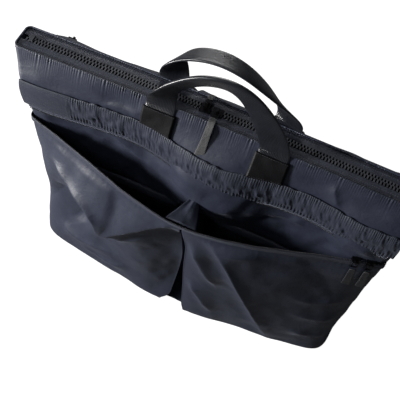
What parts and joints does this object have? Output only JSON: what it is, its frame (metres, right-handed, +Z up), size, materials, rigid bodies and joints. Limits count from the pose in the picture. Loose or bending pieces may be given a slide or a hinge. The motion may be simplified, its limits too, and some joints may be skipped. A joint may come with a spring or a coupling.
{
  "type": "flight bag",
  "caption": "Soft flight bag with a full-width top zip, short webbing handles on leather patches, and an open front zip over wide bellows pockets.",
  "frame": {"origin": "middle of the base, on the floor", "axes": "+X along the bag to the right seen from the front, -Y the front with the bellows pockets, +Z up"},
  "size_m": [0.524, 0.1743, 0.442],
  "materials": {
    "nylon": "dark navy nylon twill with a soft silky sheen",
    "lining": "plain dark nylon lining, slightly shiny",
    "binding": "dull grosgrain binding",
    "webbing": "shiny seat-belt weave",
    "leather": "smooth black leather",
    "pull_strap": "thin black leather strip",
    "zip_tape": "dull woven tape",
    "moulded_teeth": "dark grey moulded teeth",
    "coil_teeth": "dark grey nylon coil",
    "hardware": "black painted die-cast metal",
    "board": "black polyethylene sheet"
  },
  "bodies": {
    "bag": {"back_band": "nylon", "back_panel": "nylon", "back_zip_tapes": "zip_tape", "back_zip_teeth": "coil_teeth", "base_board": "board", "bottom_panel": "nylon", "front_band": "nylon", "front_handle_feet": "webbing", "front_left_patch": "leather", "front_panel": "nylon", "front_right_patch": "leather", "front_zip_lip_tape": "zip_tape", "front_zip_lip_teeth": "coil_teeth", "front_zip_upper_tape": "zip_tape", "front_zip_upper_teeth": "coil_teeth", "inner_pocket": "lining", "left_gusset": "nylon", "left_pocket_base": "nylon", "left_pocket_front": "nylon", "left_pocket_inner_side": "nylon", "left_pocket_outer_side": "nylon", "left_slip_pocket": "nylon", "left_slip_pocket_hem": "binding", "lining_back": "lining", "lining_front": "lining", "lining_sides": "lining", "rear_handle_feet": "webbing", "rear_left_patch": "leather", "rear_right_patch": "leather", "right_gusset": "nylon", "right_pocket_base": "nylon", "right_pocket_front": "nylon", "right_pocket_inner_side": "nylon", "right_pocket_outer_side": "nylon", "right_slip_pocket": "nylon", "right_slip_pocket_hem": "binding", "top_zip_back_tape": "zip_tape", "top_zip_back_teeth": "moulded_teeth", "top_zip_end_stops": "hardware", "top_zip_front_tape": "zip_tape", "top_zip_front_teeth": "moulded_teeth"},
    "front_handle": {"front_handle": "webbing"},
    "rear_handle": {"rear_handle": "webbing"},
    "right_top_slider": {"right_top_slider": "hardware"},
    "right_top_pull": {"right_top_puller": "hardware", "right_top_pull_strap": "pull_strap"},
    "left_top_slider": {"left_top_slider": "hardware"},
    "left_top_pull": {"left_top_puller": "hardware", "left_top_pull_strap": "pull_strap"},
    "inner_front_slider": {"inner_front_slider": "hardware"},
    "inner_front_pull": {"inner_front_puller": "hardware", "inner_front_pull_strap": "pull_strap"},
    "outer_front_slider": {"outer_front_slider": "hardware"},
    "outer_front_pull": {"outer_front_puller": "hardware", "outer_front_pull_strap": "pull_strap"},
    "back_slider": {"back_slider": "hardware"},
    "back_pull": {"back_puller": "hardware"}
  },
  "joints": [
    {"name": "front_handle_fold", "type": "hinge", "parent": "bag", "child": "front_handle", "pos_m": [0, -0.02082, 0.34933], "axis": [1, 0, 0], "range_deg": [0, 90]},
    {"name": "rear_handle_fold", "type": "hinge", "parent": "bag", "child": "rear_handle", "pos_m": [0, 0.02082, 0.34933], "axis": [1, 0, 0], "range_deg": [-90, 0]},
    {"name": "right_top_slide", "type": "slide", "parent": "bag", "child": "right_top_slider", "axis": [1, 0, 0], "range_m": [0, 0.257], "deforming": ["right_top_pull_strap"]},
    {"name": "right_top_pull_swing", "type": "hinge", "parent": "right_top_slider", "child": "right_top_pull", "pos_m": [-0.0085, 0, 0.3562], "axis": [1, 0, 0], "range_deg": [-170, 0]},
    {"name": "left_top_slide", "type": "slide", "parent": "bag", "child": "left_top_slider", "axis": [1, 0, 0], "range_m": [-0.225, 0], "deforming": ["left_top_pull_strap"]},
    {"name": "left_top_pull_swing", "type": "hinge", "parent": "left_top_slider", "child": "left_top_pull", "pos_m": [-0.0235, 0, 0.3562], "axis": [1, 0, 0], "range_deg": [0, 170]},
    {"name": "inner_front_slide", "type": "slide", "parent": "bag", "child": "inner_front_slider", "axis": [0.9712, 0.2382, 0], "range_m": [-0.012, 0]},
    {"name": "inner_front_pull_swing", "type": "hinge", "parent": "inner_front_slider", "child": "inner_front_pull", "pos_m": [0.21219, -0.06126, 0.2595], "axis": [0.9712, 0.2382, 0], "range_deg": [-140, 0]},
    {"name": "outer_front_slide", "type": "slide", "parent": "bag", "child": "outer_front_slider", "axis": [0.9712, 0.2382, 0], "range_m": [0, 0.006]},
    {"name": "outer_front_pull_swing", "type": "hinge", "parent": "outer_front_slider", "child": "outer_front_pull", "pos_m": [0.22967, -0.05698, 0.2595], "axis": [0.9712, 0.2382, 0], "range_deg": [-140, 0]},
    {"name": "back_slide", "type": "slide", "parent": "bag", "child": "back_slider", "axis": [1, 0, 0], "range_m": [0, 0.466]},
    {"name": "back_pull_swing", "type": "hinge", "parent": "back_slider", "child": "back_pull", "pos_m": [-0.234, 0.0541, 0.309], "axis": [1, 0, 0], "range_deg": [0, 140]}
  ]
}
